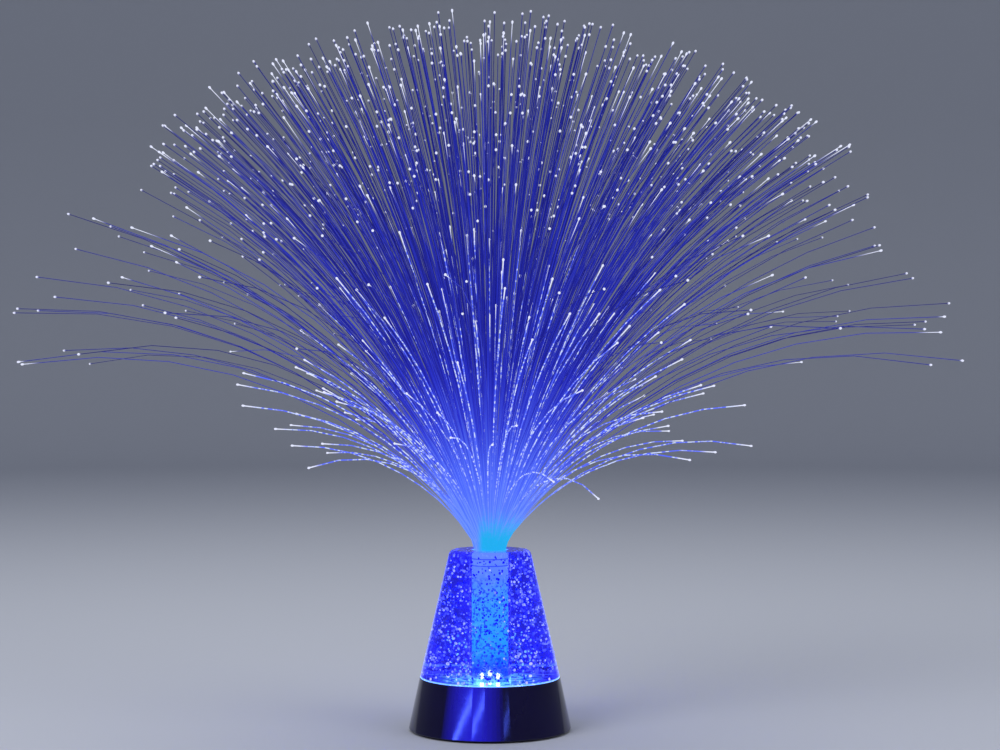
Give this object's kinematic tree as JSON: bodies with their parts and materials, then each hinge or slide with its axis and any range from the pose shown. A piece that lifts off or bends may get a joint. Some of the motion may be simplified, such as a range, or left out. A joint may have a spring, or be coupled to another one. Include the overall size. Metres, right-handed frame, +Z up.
{
  "type": "fiber optic lamp",
  "caption": "Table lamp with a black conical battery base, a clear bubbled cone with a glowing centre tube, and a dome-shaped spray of light-carrying fibres.",
  "frame": {"origin": "on the table, centre of the feet, on the lamp's axis", "axes": "+Z up along the lamp's axis, +X to the right seen from the front, the front faces -Y, the switch is at the back, +Y"},
  "size_m": [0.43, 0.43, 0.3303],
  "materials": {
    "base_black": "gloss",
    "plate_black": "fine moulded grain",
    "cell": "printed-sleeve metallic, bare",
    "steel": "nickel plated",
    "board": "solder mask",
    "chip": "moulded",
    "led": "clear, lit",
    "holder_white": "white reflector",
    "knob": "satin",
    "rubber": "matte",
    "wire": "sleeved lead",
    "acrylic": "clear acrylic with small bubbles, lit blue",
    "tube": "clear sleeve, lit pale blue",
    "ferrule": "ringed clear sleeve, lit",
    "fibre": "clear fibre carrying blue light to a bright tip"
  },
  "bodies": {
    "base": {"base_shell": "base_black", "bottom_plate": "plate_black", "battery_1": "cell", "battery_2": "cell", "battery_3": "cell", "contact_springs": "steel", "contact_plates": "steel", "circuit_board": "board", "controller_chip": "chip", "resistors": "chip", "led_1": "led", "led_2": "led", "led_3": "led", "led_holder": "holder_white", "switch_housing": "steel", "switch_screws": "steel", "board_screws": "steel", "bottom_screws": "steel", "rubber_feet": "rubber", "lead_wires": "wire", "crystal_cone": "acrylic", "centre_tube": "tube"},
    "door": {"battery_door": "plate_black"},
    "switch": {"switch_slider": "knob"},
    "spray": {"bundle_ferrule": "ferrule", "fibres_right": "fibre", "fibres_back_right": "fibre", "fibres_back": "fibre", "fibres_back_left": "fibre", "fibres_left": "fibre", "fibres_front_left": "fibre", "fibres_front": "fibre", "fibres_front_right": "fibre"}
  },
  "joints": [
    {"name": "door_pull", "type": "slide", "parent": "base", "child": "door", "axis": [0, 0, -1], "range_m": [0, 0.012]},
    {"name": "switch_slide", "type": "slide", "parent": "base", "child": "switch", "axis": [1, 0, 0], "range_m": [0, 0.003]},
    {"name": "spray_lift", "type": "slide", "parent": "base", "child": "spray", "axis": [0, 0, 1], "range_m": [0, 0.03]}
  ]
}
